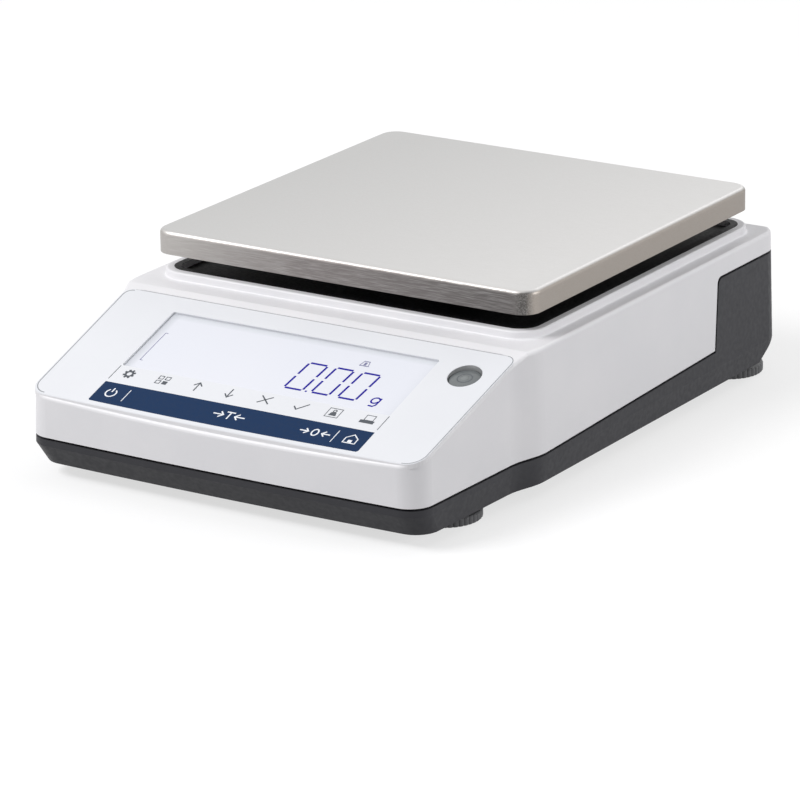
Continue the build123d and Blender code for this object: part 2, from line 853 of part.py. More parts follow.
def lever_notches():
    """Notches that leave the fulcrum neck and the coupling neck."""
    radius = (link_gauge - neck_web) / 2
    return [
        cell_notch(console_half, y + side * link_gauge / 2, fulcrum_z, radius)
        for y in (fulcrum_y, coupling_y) for side in (-1, 1)
    ]


def make_guide(low):
    near, far_end = guide_necks
    span = (near + neck_gap / 2, far_end - neck_gap / 2)
    guide = cell_block(guide_half, span, (low, low + guide_gauge))
    window = (near + guide_window_margin, far_end - guide_window_margin)
    guide -= cell_block(guide_window_half, window, (low - 1, low + guide_gauge + 1))
    for notch in guide_notches():
        guide -= notch
    return guide


def make_load_receiver():
    half_x, half_y = receiver_half
    body = cell_block(half_x, (-half_y, half_y), receiver_z)
    for low in guide_levels.values():
        body += cell_block(guide_half, (half_y - 2, guide_necks[0] - neck_gap / 2), (low, low + guide_gauge))
    link = (coupling_y - link_gauge / 2, coupling_y + link_gauge / 2)
    body += cell_block(link_half + 1, (half_y - 1, link[1]), nose_z)
    body += cell_block(link_half, link, (nose_z[0], fulcrum_z - neck_gap / 2))
    body -= cell_block(half_x - 5, (-half_y - 1, half_y - 4), (receiver_z[0] + 9, receiver_z[1] - 7))
    for notch in guide_notches() + lever_notches():
        body -= notch
    hook_top_z = receiver_z[0] + hook_thread_depth
    return body - rod(0, pan_centre_y, receiver_z[0] - 1, hook_top_z, hook_thread_radius)


def make_cell_frame():
    frame = cell_block(frame_half, frame_y, (frame_plate_z[0], receiver_z[1]))
    frame -= cell_block(frame_slot_half, (frame_y[0] - 1, frame_y[1] + 1), frame_slot_z)
    frame += cell_block(frame_half, frame_plate_y, frame_plate_z)
    stub = (guide_necks[1] + neck_gap / 2, frame_y[0] + 1)
    for low in guide_levels.values():
        frame += cell_block(guide_half, stub, (low, low + guide_gauge))
    pillar = (fulcrum_y - link_gauge / 2, fulcrum_y + link_gauge / 2)
    frame += cell_block(console_half, (pillar[0] - 0.5, frame_y[0] + 1), console_z)
    frame += cell_block(link_half, pillar, (console_z[1] - 1, fulcrum_z - neck_gap / 2))
    for notch in guide_notches() + lever_notches():
        frame -= notch
    for place in cell_screw_places():
        frame -= rod(*place, 0, frame_plate_z[1] + 3, cell_screw_radius)
    return frame & body_profile(base_wall + seam_gap)


def make_lever():
    nose = coupling_y - link_gauge / 2
    lever = cell_block(lever_half, (nose, lever_end_y), lever_z)
    for y in (fulcrum_y, coupling_y):
        stub = (y - link_gauge / 2, y + link_gauge / 2)
        lever += cell_block(link_half, stub, (fulcrum_z + neck_gap / 2, lever_z[0] + 1))
    for notch in lever_notches():
        lever -= notch
    for span in lever_windows:
        lever -= cell_block(lever_half - 2, span, (lever_z[0] - 1, lever_z[1] + 1))
    return lever + cell_block(flag_half, (lever_end_y - 1, flag_end_y), flag_z)


magnet_place = (0, pan_centre_y + magnet_y)
pot_z = (frame_plate_z[1], frame_plate_z[1] + pot_height)


def make_coil_former():
    disc_z = lever_z[0] - former_disc
    former = rod(*magnet_place, former_low_z, disc_z, former_radius[1])
    former -= rod(*magnet_place, former_low_z - 1, disc_z + 1, former_radius[0])
    return former + rod(*magnet_place, disc_z, lever_z[0], coil_radius)


def make_coil():
    coil = rod(*magnet_place, coil_z[0], coil_z[1], coil_radius)
    return coil - rod(*magnet_place, coil_z[0] - 1, coil_z[1] + 1, former_radius[1])


def make_magnet_pot():
    pot = rod(*magnet_place, pot_z[0], pot_z[1], pot_radius)
    return pot - rod(*magnet_place, pot_z[0] + pot_floor, pot_z[1] + 1, pot_bore)


def make_magnet_core():
    return rod(*magnet_place, pot_z[0] + pot_floor, pot_z[1] - core_sink, core_radius)


def make_position_sensor():
    """Light barrier: a fork that the flag on the lever's end stands in."""
    near = cell_reach - sensor_gauge
    fork = cell_block(sensor_half, (near, cell_reach), (frame_plate_z[1], sensor_top_z))
    fork -= cell_block(sensor_slot_half, (near - 1, cell_reach + 1), (sensor_slot_z, sensor_top_z + 1))
    return fork - cell_block(sensor_half - sensor_wall, (near + sensor_wall, cell_reach + 1), sensor_recess_z)


def make_cell_screws():
    screws = []
    for place in cell_screw_places():
        head = rod(*place, base_bottom_z + screw_sink, cell_screw_seat_z, cell_screw_head[0])
        screws.append(head + rod(*place, cell_screw_seat_z, frame_plate_z[1] + 2, cell_screw_radius))
    return screws


def make_overload_stops():
    top = receiver_z[0] - travel - stop_margin
    return [rod(side * stop_x, pan_centre_y, stop_low_z, top, stop_radius) for side in (-1, 1)]


def make_hook_cover():
    low, high = cover_z
    tail = cover_pivot_x + cover_tail
    plate = Rectangle(tail + cover_half, 2 * cover_half)
    plate = fillet(plate.vertices(), cover_corner)
    cover = extrude(Pos((tail - cover_half) / 2, pan_centre_y, low) * plate, high - low)
    return cover - rod(cover_pivot_x, pan_centre_y, 0, high + 1, cover_screw_radius + running_clearance)


def make_cover_screw():
    seat = cover_z[0] - hole_clearance
    shank = rod(cover_pivot_x, pan_centre_y, seat, cover_thread_z, cover_screw_radius)
    return shank + rod(cover_pivot_x, pan_centre_y, seat - cover_screw_head[1], seat, cover_screw_head[0])


# Feet

def make_foot_wheel(x, y):
    wheel = rod(x, y, foot_bottom_z, foot_top_z, foot_radius)
    wheel = chamfer(wheel.faces().sort_by(Axis.Z)[0].edges(), foot_chamfer)
    for i in range(foot_notches):
        angle = 2 * pi * i / foot_notches
        place = (x + foot_radius * cos(angle), y + foot_radius * sin(angle))
        wheel -= rod(*place, 0, foot_top_z + 1, foot_notch_radius)
    wheel -= rod(x, y, 0, sole_top_z + sole_clearance, sole_radius + sole_clearance)
    wheel -= rod(x, y, 0, sole_pin_top_z + sole_clearance, sole_pin_radius + running_clearance)
    return wheel


def make_foot_stud(x, y):
    stud = rod(x, y, foot_top_z, foot_top_z + foot_stud_length, foot_stud_radius)
    return chamfer(stud.faces().sort_by(Axis.Z)[-1].edges(), 0.8)


def make_foot_sole(x, y):
    return rod(x, y, 0, sole_top_z, sole_radius) + rod(x, y, 0, sole_pin_top_z, sole_pin_radius)


def make_foot_bushes():
    bushes = []
    for x, y in foot_places.values():
        bush = rod(x, y, boss_bottom_z + screw_sink, bush_top_z, bush_radius)
        bushes.append(bush - rod(x, y, 0, bush_top_z + 1, foot_stud_radius + running_clearance))
    return bushes


# Boards, sockets and screws

def make_main_board():
    top = main_board_z + board_gauge
    board = block((-main_board_half, main_board_half), main_board_y, (main_board_z, top))
    for place in board_screw_places():
        board -= rod(*place, 0, far, board_screw_radius + hole_clearance)
    middle = (main_board_y[0] + main_board_y[1]) / 2
    for x, y, width, depth, height in main_chips:
        chip = (middle + y - depth / 2, middle + y + depth / 2)
        board += block((x - width / 2, x + width / 2), chip, (top, top + height))
    for i in range(capacitor_count):
        x = capacitor_start[0] + i * capacitor_pitch
        board += rod(x, middle + capacitor_start[1], top, top + capacitor_size[1], capacitor_size[0])
    return board


def make_board_screws():
    screws = []
    top = main_board_z + board_gauge
    for place in board_screw_places():
        shank = rod(*place, floor_z + 1.2, top, board_screw_radius)
        screws.append(shank + rod(*place, top, top + board_screw_head[1], board_screw_head[0]))
    return screws


def make_housing_screws():
    screws = []
    for x, y in both_sides(housing_screws):
        head = rod(x, y, screw_seat_z - screw_head[1], screw_seat_z, screw_head[0])
        screws.append(head + rod(x, y, screw_seat_z, screw_top_z, screw_radius))
    return screws


socket_back_y = io_board_y + board_gauge


def make_io_board():
    return block(io_board_x, (io_board_y, socket_back_y), io_board_z)


def socket_box(x, size, y):
    """Box at socket height."""
    return block((x - size[0] / 2, x + size[0] / 2), y, (socket_z - size[1] / 2, socket_z + size[1] / 2))


def make_serial_socket():
    body = socket_box(serial_x, serial_body, (socket_back_y, socket_back_y + serial_depth))
    shell = Rectangle(*serial_shell)
    shell = fillet(shell.vertices(), serial_shell_corner)
    front = Plane.XZ.offset(-socket_face_y) * (Pos(serial_x, socket_z) * shell)
    socket = body + extrude(front, socket_face_y - socket_back_y)
    for row, count in ((1, 5), (-1, 4)):
        for i in range(count):
            x = serial_x + (i - (count - 1) / 2) * serial_pitch[0]
            z = socket_z + row * serial_pitch[1] / 2
            socket -= back_rod(x, (socket_face_y - serial_pin[1], socket_face_y + 1), serial_pin[0], z)
    return socket


def make_jackscrews():
    low = socket_back_y + serial_depth
    screws = []
    for side in (-1, 1):
        place = serial_x + side * jackscrew_pitch / 2
        bar = back_rod(place, (low, socket_face_y), jackscrew_radius)
        bore = (socket_face_y - jackscrew_bore[1], socket_face_y + 1)
        screws.append(bar - back_rod(place, bore, jackscrew_bore[0]))
    return screws


tongue_y = (socket_face_y - plug_depth - 1, socket_face_y - tongue_sink)


def make_usb_b_socket():
    body = socket_box(usb_b_x, usb_b_size, (socket_back_y, socket_face_y))
    body -= socket_box(usb_b_x, usb_b_cavity, (socket_face_y - plug_depth, socket_face_y + 1))
    return body + socket_box(usb_b_x, usb_b_tongue, tongue_y)


def make_usb_a_socket():
    body = socket_box(usb_a_x, usb_a_size, (socket_back_y, socket_face_y))
    body -= socket_box(usb_a_x, usb_a_cavity, (socket_face_y - plug_depth, socket_face_y + 1))
    half, gauge = usb_a_tongue[0] / 2, usb_a_tongue[1]
    return body + block((usb_a_x - half, usb_a_x + half), tongue_y, (socket_z, socket_z + gauge))


def make_power_socket():
    body = socket_box(power_x, power_size, (socket_back_y, rear_y - base_wall - socket_clearance))
    socket = body + back_rod(power_x, (socket_back_y, socket_face_y), power_size[1] / 2)
    socket -= back_rod(power_x, (socket_face_y - power_depth, socket_face_y + 1), power_bore)
    pin = (socket_face_y - power_depth - 1, socket_face_y - tongue_sink)
    return socket + back_rod(power_x, pin, power_pin)


nodes = {
    "bottom_housing": make_bottom_housing(),
    "top_housing": make_top_housing(),
    "touch_panel": make_touch_panel(),
    "display_window": make_display_window(),
    "lcd_frame": make_lcd_frame(),
    "lcd_glass": make_lcd_glass(),
    "display_board": make_display_board(),
    "display_screws": make_display_screws(),
    "level_body": make_level_body(),
    "level_glass": make_level_glass(),
    "draught_plate": make_draught_plate(),
    "weighing_pan": make_pan(),
    "pan_support": make_pan_support(),
    "support_buffers": make_buffers(),
    "load_cone": make_load_cone(),
    "load_receiver": make_load_receiver(),
    "lower_guide": make_guide(guide_levels["lower"]),
    "upper_guide": make_guide(guide_levels["upper"]),
    "cell_frame": make_cell_frame(),
    "lever": make_lever(),
    "coil_former": make_coil_former(),
    "coil": make_coil(),
    "magnet_pot": make_magnet_pot(),
    "magnet_core": make_magnet_core(),
    "position_sensor": make_position_sensor(),
    "cell_screws": make_cell_screws(),
    "overload_stops": make_overload_stops(),
    "hook_cover": make_hook_cover(),
    "cover_screw": make_cover_screw(),
    "foot_bushes": make_foot_bushes(),
    "main_board": make_main_board(),
    "board_screws": make_board_screws(),
    "housing_screws": make_housing_screws(),
    "io_board": make_io_board(),
    "serial_socket": make_serial_socket(),
    "serial_jackscrews": make_jackscrews(),
    "usb_b_socket": make_usb_b_socket(),
    "usb_a_socket": make_usb_a_socket(),
    "power_socket": make_power_socket(),
}
for corner, place in foot_places.items():
    nodes["foot_wheel_" + corner] = make_foot_wheel(*place)
    nodes["foot_stud_" + corner] = make_foot_stud(*place)
    nodes["foot_sole_" + corner] = make_foot_sole(*place)

os.makedirs("parts", exist_ok=True)
for name, shape in nodes.items():
    if isinstance(shape, list):
        shape = Compound(children=shape)
    export_step(shape, os.path.join("parts", name + ".step"))
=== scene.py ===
"""Looks of a top loading balance: lacquered housings, a lit touch terminal, a brushed steel
pan, and the small printed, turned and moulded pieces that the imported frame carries."""
import math

import bmesh
import bpy
from mathutils import Matrix, Vector


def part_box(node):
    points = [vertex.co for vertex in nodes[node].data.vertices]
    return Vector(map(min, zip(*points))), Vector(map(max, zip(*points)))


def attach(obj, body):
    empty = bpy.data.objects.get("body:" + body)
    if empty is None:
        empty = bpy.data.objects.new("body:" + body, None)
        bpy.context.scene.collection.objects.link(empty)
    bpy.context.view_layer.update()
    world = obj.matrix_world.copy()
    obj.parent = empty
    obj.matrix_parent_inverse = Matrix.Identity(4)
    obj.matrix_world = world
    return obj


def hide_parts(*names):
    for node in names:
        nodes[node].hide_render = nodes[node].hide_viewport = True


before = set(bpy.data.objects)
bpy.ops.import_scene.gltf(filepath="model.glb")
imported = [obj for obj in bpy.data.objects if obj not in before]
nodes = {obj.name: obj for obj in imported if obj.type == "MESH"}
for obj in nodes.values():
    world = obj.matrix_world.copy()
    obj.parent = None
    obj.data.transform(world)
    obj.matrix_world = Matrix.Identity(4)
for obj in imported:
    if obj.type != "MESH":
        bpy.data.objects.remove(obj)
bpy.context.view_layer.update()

MM = 0.001
X, Y, Z = 0, 1, 2

# Camera, solved from the edges of the pan and the terminal in the photograph
CAMERA_PLACE = (1.03115, -1.60553, 0.63976)
CAMERA_AZIMUTH = 32.827
CAMERA_ELEVATION = 18.306
CAMERA_ROLL = -0.832
CAMERA_REACH = 20
FOCAL_PX = 4880.0
IMAGE_PX = 800
SENSOR_MM = 36.0

# Light: name, place, size and power of each lamp, and the point they all face
LAMPS = (
    ("key", (-1.05, -1.5, 1.95), (1.2, 1.0), 54.0),
    ("fill", (2.0, 0.55, 0.72), (1.2, 0.8), 18.0),
    ("rim", (0.3, 1.8, 1.4), (1.8, 1.0), 6.0),
)
LAMP_AIM = (0, 0, 0.04)
WORLD_DIFFUSE = 0.42
FLOOR_RADIUS = 6
FLOOR_SIDES = 96
FLOOR_TONE = 0.34
FLOOR_LIFT = 0.66

# Colour sockets of the Mix node
MIX_FIRST, MIX_SECOND, MIX_RESULT = 6, 7, 2


# Camera

def add_camera():
    """Camera with the photograph's place, direction, roll and focal length."""
    azimuth = math.radians(CAMERA_AZIMUTH)
    elevation = math.radians(CAMERA_ELEVATION)
    roll = math.radians(CAMERA_ROLL)
    back = Vector((math.sin(azimuth) * math.cos(elevation),
                   -math.cos(azimuth) * math.cos(elevation), math.sin(elevation)))
    level = Vector((math.cos(azimuth), math.sin(azimuth), 0))
    upright = back.cross(level)
    right = level * math.cos(roll) + upright * math.sin(roll)
    up = back.cross(right)
    data = bpy.data.cameras.new("camera")
    data.sensor_width = SENSOR_MM
    data.lens = FOCAL_PX * SENSOR_MM / IMAGE_PX
    data.clip_end = CAMERA_REACH
    camera = bpy.data.objects.new("camera", data)
    turn = Matrix((right, up, back)).transposed().to_4x4()
    camera.matrix_world = Matrix.Translation(CAMERA_PLACE) @ turn
    bpy.context.scene.collection.objects.link(camera)
    bpy.context.scene.camera = camera


# Materials

def any_ray(tree, *kinds):
    """Socket that is 1 for each of the named kinds of ray in Light Path, and 0 otherwise."""
    rays = tree.nodes.new("ShaderNodeLightPath")
    total = rays.outputs[kinds[0]]
    for kind in kinds[1:]:
        join = tree.nodes.new("ShaderNodeMath")
        join.operation = "MAXIMUM"
        tree.links.new(total, join.inputs[0])
        tree.links.new(rays.outputs[kind], join.inputs[1])
        total = join.outputs[0]
    return total


class Finish:
    """A Principled material with short ways to add procedural detail."""

    def __init__(self, name, colour, roughness, metallic=0.0, **sockets):
        self.material = bpy.data.materials.new(name)
        self.material.use_nodes = True
        self.tree = self.material.node_tree
        self.shader = self.tree.nodes["Principled BSDF"]
        self.shader.inputs["Base Color"].default_value = (*colour, 1)
        self.shader.inputs["Roughness"].default_value = roughness
        self.shader.inputs["Metallic"].default_value = metallic
        for socket, value in sockets.items():
            self.shader.inputs[socket.replace("_", " ")].default_value = value
        self.colour = colour
        self.normal = None

    def add(self, kind, **inputs):
        """New node with the given inputs, either values or sockets."""
        node = self.tree.nodes.new(kind)
        for name, value in inputs.items():
            socket = node.inputs[name.replace("_", " ")]
            if isinstance(value, bpy.types.NodeSocket):
                self.tree.links.new(value, socket)
            else:
                socket.default_value = value
        return node

    def place(self, stretch=(1, 1, 1), turn=0.0):
        """Object coordinates in metres, turned about Z and stretched along each axis."""
        source = self.add("ShaderNodeTexCoord").outputs["Object"]
        return self.add("ShaderNodeMapping", Vector=source, Scale=stretch,
                        Rotation=(0, 0, turn)).outputs["Vector"]

    def noise(self, scale, detail=3.0, stretch=(1, 1, 1)):
        """Noise from 0 to 1; scale is in cells per metre, detail in octaves."""
        return self.add("ShaderNodeTexNoise", Vector=self.place(stretch), Scale=scale,
                        Detail=detail).outputs["Fac"]

    def remap(self, factor, low, high, start=0.35, end=0.65):
        """Factor from start to end becomes a value from low to high."""
        node = self.add("ShaderNodeMapRange", Value=factor)
        node.inputs["From Min"].default_value = start
        node.inputs["From Max"].default_value = end
        node.inputs["To Min"].default_value = low
        node.inputs["To Max"].default_value = high
        return node.outputs["Result"]

    def blend(self, factor, first, second, start=0.35, end=0.65):
        """Colour between two, each a triple or a socket, as factor goes from start to end."""
        node = self.tree.nodes.new("ShaderNodeMix")
        node.data_type = "RGBA"
        share = self.remap(factor, 0, 1, start, end)
        self.tree.links.new(share, node.inputs["Factor"])
        for index, colour in ((MIX_FIRST, first), (MIX_SECOND, second)):
            if isinstance(colour, bpy.types.NodeSocket):
                self.tree.links.new(colour, node.inputs[index])
            else:
                node.inputs[index].default_value = (*colour, 1)
        return node.outputs[MIX_RESULT]

    def tint(self, factor, other, start=0.35, end=0.65):
        """Base colour goes towards another colour as factor goes from start to end."""
        base = self.shader.inputs["Base Color"]
        first = base.links[0].from_socket if base.is_linked else self.colour
        self.tree.links.new(self.blend(factor, first, other, start, end), base)
        return self

    def gloss(self, factor, low, high):
        """Roughness varies from low to high with factor."""
        rough = self.remap(factor, low, high)
        self.tree.links.new(rough, self.shader.inputs["Roughness"])
        return self

    def relief(self, height, strength, distance):
        """Bump with a height factor; distance is in metres."""
        node = self.add("ShaderNodeBump", Height=height, Strength=strength, Distance=distance)
        if self.normal:
            self.tree.links.new(self.normal, node.inputs["Normal"])
        self.normal = node.outputs["Normal"]
        self.tree.links.new(self.normal, self.shader.inputs["Normal"])
        return self

    def along(self, axis, turn=0.0):
        """Object coordinate on an axis, in metres, after a turn about Z."""
        return self.add("ShaderNodeSeparateXYZ", Vector=self.place(turn=turn)).outputs[axis]

    def facing(self, axis):
        """The surface normal's part along an axis, from -1 to 1."""
        normal = self.add("ShaderNodeNewGeometry").outputs["Normal"]
        return self.add("ShaderNodeSeparateXYZ", Vector=normal).outputs[axis]


def darker(colour, share):
    """The colour times a share."""
    return tuple(share * part for part in colour)


def lacquer_white():
    """Satin lacquer with a fine spray grain."""
    look = Finish("lacquer_white", (0.78, 0.772, 0.795), 0.42, Specular_IOR_Level=0.4)
    look.tint(look.noise(35, 4), (0.755, 0.75, 0.775))
    look.gloss(look.noise(900, 2), 0.36, 0.48)
    return look.relief(look.noise(2600, 2), 0.12, 0.12 * MM).material


def powder_dark():
    """Anthracite powder coat with a fine orange-peel skin."""
    look = Finish("powder_dark", (0.040, 0.040, 0.045), 0.5, Specular_IOR_Level=0.2)
    look.tint(look.noise(60, 4), (0.036, 0.036, 0.041))
    look.gloss(look.noise(500, 3), 0.44, 0.56)
    look.relief(look.noise(700, 3), 0.05, 0.2 * MM)
    return look.relief(look.noise(3200, 2), 0.08, 0.06 * MM).material


def panel_foil():
    """Printed polyester foil over the keys."""
    look = Finish("panel_foil", (0.735, 0.745, 0.78), 0.34, Specular_IOR_Level=0.4)
    look.tint(look.noise(25, 3), (0.72, 0.73, 0.765))
    look.gloss(look.noise(1400, 2), 0.30, 0.38)
    return look.relief(look.noise(4200, 2), 0.06, 0.06 * MM).material


def display_face():
    """Clear window over a white, evenly lit display, with painted shade towards the rear and the
    left edges, where the window's recess would shade it.
    """
    look = Finish("display_face", (0.71, 0.72, 0.78), 0.16, Emission_Color=(0.92, 0.94, 1.0, 1),
                  Emission_Strength=0.03, Coat_Weight=0.3, Coat_Roughness=0.08)
    look.tint(look.noise(14, 2), (0.69, 0.705, 0.77))
    # Painted shade: the recess's shadow, painted along the window's rear and left edges
    look.tint(look.along(Y), (0.55, 0.57, 0.61), start=-79.5 * MM, end=-75.8 * MM)
    look.tint(look.along(X), (0.44, 0.46, 0.50), start=-58.8 * MM, end=-64.2 * MM)
    return look.relief(look.noise(6000, 1), 0.03, 0.03 * MM).material


def brushed_pan():
    """Stainless sheet brushed along one direction; the folded sides carry painted shade and painted
    reflection, darker and warmer, and the top a painted sheen.
    """
    # Painted shade and painted reflection: the folded sides get a dark, warm colour in place of the
    # surroundings they reflect
    shaded_side = (0.285, 0.255, 0.228)
    look = Finish("brushed_pan", shaded_side, 0.42, 1.0)
    lines = look.noise(60, 5, (2.2, 60, 60))
    fine = look.noise(90, 3, (6, 140, 140))
    # Painted shade and painted light: the front fold is painted dark at the right and pale at the
    # left
    look.tint(look.facing(Y), (0.14, 0.13, 0.126), start=-0.3, end=-0.9)
    look.tint(look.along(X), (0.22, 0.20, 0.195), start=70 * MM, end=-10 * MM)
    look.tint(look.along(X), (0.44, 0.42, 0.405), start=-15 * MM, end=-88 * MM)
    # Painted shade: the corner between front and right is painted darker than both
    look.tint(look.facing(X), (0.10, 0.094, 0.09), start=0.12, end=0.45)
    look.tint(look.facing(X), shaded_side, start=0.62, end=0.9)
    # Painted light: the top is painted paler towards the right and the front
    across = look.along(X, turn=0.29)
    painted_sheen = look.blend(across, (0.65, 0.642, 0.636), (0.53, 0.527, 0.522),
                       start=80 * MM, end=-100 * MM)
    look.tint(look.facing(Z), painted_sheen, start=0.5, end=0.98)
    look.tint(lines, (0.56, 0.55, 0.535), start=0.45, end=1.2)
    look.gloss(fine, 0.38, 0.52)
    look.relief(lines, 0.10, 0.08 * MM)
    return look.relief(fine, 0.10, 0.04 * MM).material


def turned_steel(name, colour=(0.60, 0.60, 0.61), roughness=0.3):
    """Turned or milled metal with fine tool marks."""
    look = Finish(name, colour, roughness, 1.0)
    marks = look.noise(500, 3, (1, 1, 9))
    look.tint(look.noise(120, 3), darker(colour, 0.85))
    look.gloss(marks, roughness * 0.8, roughness * 1.3)
    return look.relief(marks, 0.12, 0.05 * MM).material


def milled_alloy():
    """Aluminium with the lines of a face mill."""
    look = Finish("milled_alloy", (0.68, 0.69, 0.70), 0.36, 1.0)
    lines = look.noise(120, 3, (12, 1, 1))
    look.tint(look.noise(200, 3), (0.60, 0.61, 0.62))
    look.gloss(lines, 0.28, 0.46)
    return look.relief(lines, 0.2, 0.1 * MM).material


def moulded(name, colour, roughness, grain=2200, depth=0.12, shine=0.5):
    """Moulded plastic with a spark-eroded grain; depth is in millimetres."""
    look = Finish(name, colour, roughness, Specular_IOR_Level=shine)
    look.tint(look.noise(80, 3), darker(colour, 0.86))
    look.gloss(look.noise(grain / 3, 2), roughness - 0.06, roughness + 0.06)
    return look.relief(look.noise(grain, 2), 0.2, depth * MM).material


def soft_rubber():
    """Matt black rubber, a little dusty."""
    look = Finish("soft_rubber", (0.018, 0.018, 0.019), 0.72)
    look.tint(look.noise(300, 5), (0.035, 0.034, 0.033), start=0.45, end=0.8)
    return look.relief(look.noise(1500, 3), 0.3, 0.1 * MM).material


def circuit_board():
    """Solder mask over a copper pattern."""
    look = Finish("circuit_board", (0.012, 0.11, 0.05), 0.32)
    look.tint(look.noise(420, 0, (1, 0.12, 1)), (0.02, 0.19, 0.08), start=0.5, end=0.56)
    look.tint(look.noise(420, 0, (0.12, 1, 1)), (0.02, 0.17, 0.075), start=0.54, end=0.6)
    return look.relief(look.noise(900, 2), 0.1, 0.06 * MM).material


def winding():
    """Enamelled copper wire wound in turns."""
    look = Finish("winding", (0.62, 0.25, 0.09), 0.3, 0.9)
    wave = look.add("ShaderNodeTexWave", Vector=look.place(), Scale=900)
    wave.bands_direction = "Z"
    look.tint(wave.outputs["Fac"], (0.35, 0.12, 0.04), start=0.2, end=0.8)
    return look.relief(wave.outputs["Fac"], 0.6, 0.2 * MM).material


def level_wall():
    """Grey moulded wall round the level, paler on the right, where it faces the light."""
    look = Finish("level_wall", (0.15, 0.155, 0.16), 0.45, Specular_IOR_Level=0.3)
    look.tint(look.noise(300, 2), (0.17, 0.175, 0.18))
    look.tint(look.facing(X), (0.66, 0.67, 0.69), start=-0.72, end=-0.96)
    return look.relief(look.noise(2200, 2), 0.1, 0.05 * MM).material


def clear_fluid(name, colour, roughness=0.08):
    """Pale glass or fluid that shows a little of what is behind it."""
    look = Finish(name, colour, roughness, Transmission_Weight=0.35, IOR=1.47)
    look.tint(look.noise(160, 2), darker(colour, 0.93))
    return look.relief(look.noise(900, 1), 0.02, 0.03 * MM).material


def ink(name, colour):
    """Screen-printed ink with a faint texture."""
    look = Finish(name, colour, 0.55, Specular_IOR_Level=0.1)
    look.tint(look.noise(700, 3), tuple(0.9 * part + 0.004 for part in colour))
    return look.relief(look.noise(5000, 1), 0.1, 0.03 * MM).material


# Meshes

def new_piece(name, build, material, outward=True):
    """New mesh object from a function that fills a bmesh."""
    mesh = bpy.data.meshes.new(name)
    work = bmesh.new()
    build(work)
    if outward:
        bmesh.ops.recalc_face_normals(work, faces=work.faces)
    work.to_mesh(mesh)
    work.free()
    piece = bpy.data.objects.new(name, mesh)
    piece.data.materials.append(material)
    bpy.context.scene.collection.objects.link(piece)
    return piece


def mesh_piece(name, build, body, material, smooth=False):
    """New mesh object that rides on a body."""
    piece = new_piece(name, build, material)
    if smooth:
        piece.data.shade_smooth()
    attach(piece, body)
    return piece


def bridge(work, rows, closed=False):
    """Quads between neighbouring rings of vertices; closed also joins the last to the first."""
    for k in range(0 if closed else 1, len(rows)):
        before, after = rows[k - 1], rows[k]
        for i in range(len(after)):
            work.faces.new([before[i - 1], before[i], after[i], after[i - 1]])


def ring_points(count, radius, centre=(0.0, 0.0)):
    """Points of a circle; radius may be a function of the angle."""
    points = []
    for i in range(count):
        turn = 2 * math.pi * i / count
        reach = radius(turn) if callable(radius) else radius
        points.append((centre[0] + reach * math.cos(turn), centre[1] + reach * math.sin(turn)))
    return points


# Plan shapes, in millimetres: x to the right, y to the rear

def ribbon(points, width, closed=False):
    """Polygons that draw a line of the given width through plan points."""
    count = len(points)
    spots = [Vector(point) for point in points]
    sides = []
    for i, spot in enumerate(spots):
        before = spots[i - 1] if i > 0 or closed else None
        after = spots[(i + 1) % count] if i < count - 1 or closed else None
        first = (spot - before).normalized() if before is not None else None
        second = (after - spot).normalized() if after is not None else None
        first = first if first is not None else second
        second = second if second is not None else first
        across = Vector((-first.y, first.x))
        bisector = (across + Vector((-second.y, second.x))).normalized()
        reach = width / 2 / max(bisector.dot(across), 0.4)
        sides.append((spot + bisector * reach, spot - bisector * reach))
    last = count if closed else count - 1
    return [[sides[i][0], sides[i][1], sides[(i + 1) % count][1], sides[(i + 1) % count][0]]
            for i in range(last)]


def arc(centre, radius, start, end, steps=16):
    """Plan points along an arc, angles in degrees."""
    points = []
    for i in range(steps + 1):
        turn = math.radians(start + (end - start) * i / steps)
        points.append((centre[0] + radius * math.cos(turn), centre[1] + radius * math.sin(turn)))
    return points


def rounded_outline(half, span, corner):
    """Plan points of a rectangle with round corners, centred on x = 0."""
    right, rear, front = half - corner, span[1] - corner, span[0] + corner
    points = []
    for x, y, start in ((right, rear, 0), (-right, rear, 90), (-right, front, 180),
                        (right, front, 270)):
        points += arc((x, y), corner, start, start + 90, 8)
    return points


def box_solid(x, y, half_x, half_y):
    """Filled rectangle."""
    return [[(x - half_x, y - half_y), (x + half_x, y - half_y),
             (x + half_x, y + half_y), (x - half_x, y + half_y)]]


def box_outline(x, y, half_x, half_y, stroke):
    """Rectangle drawn as a line."""
    return ribbon(box_solid(x, y, half_x, half_y)[0], stroke, closed=True)


def arrow(x, y, dx, dy, length, head, stroke):
    """Arrow through a centre, pointing along (dx, dy)."""
    tip = (x + dx * length / 2, y + dy * length / 2)
    tail = (x - dx * length / 2, y - dy * length / 2)
    left = (tip[0] - dx * head - dy * head, tip[1] - dy * head + dx * head)
    right = (tip[0] - dx * head + dy * head, tip[1] - dy * head - dx * head)
    shaft = ribbon([tail, (tip[0] - dx * stroke, tip[1] - dy * stroke)], stroke)
    return shaft + ribbon([left, tip, right], stroke)


def gear(x, y, radius):
    """Gear sign: a ring with eight teeth."""
    shapes = ribbon(arc((x, y), radius * 0.58, 0, 337.5, 15), radius * 0.34, closed=True)
    for i in range(8):
        turn = math.radians(45 * i + 22.5)
        ray = (math.cos(turn), math.sin(turn))
        inner = (x + ray[0] * radius * 0.68, y + ray[1] * radius * 0.68)
        outer = (x + ray[0] * radius, y + ray[1] * radius)
        shapes += ribbon([inner, outer], radius * 0.36)
    return shapes


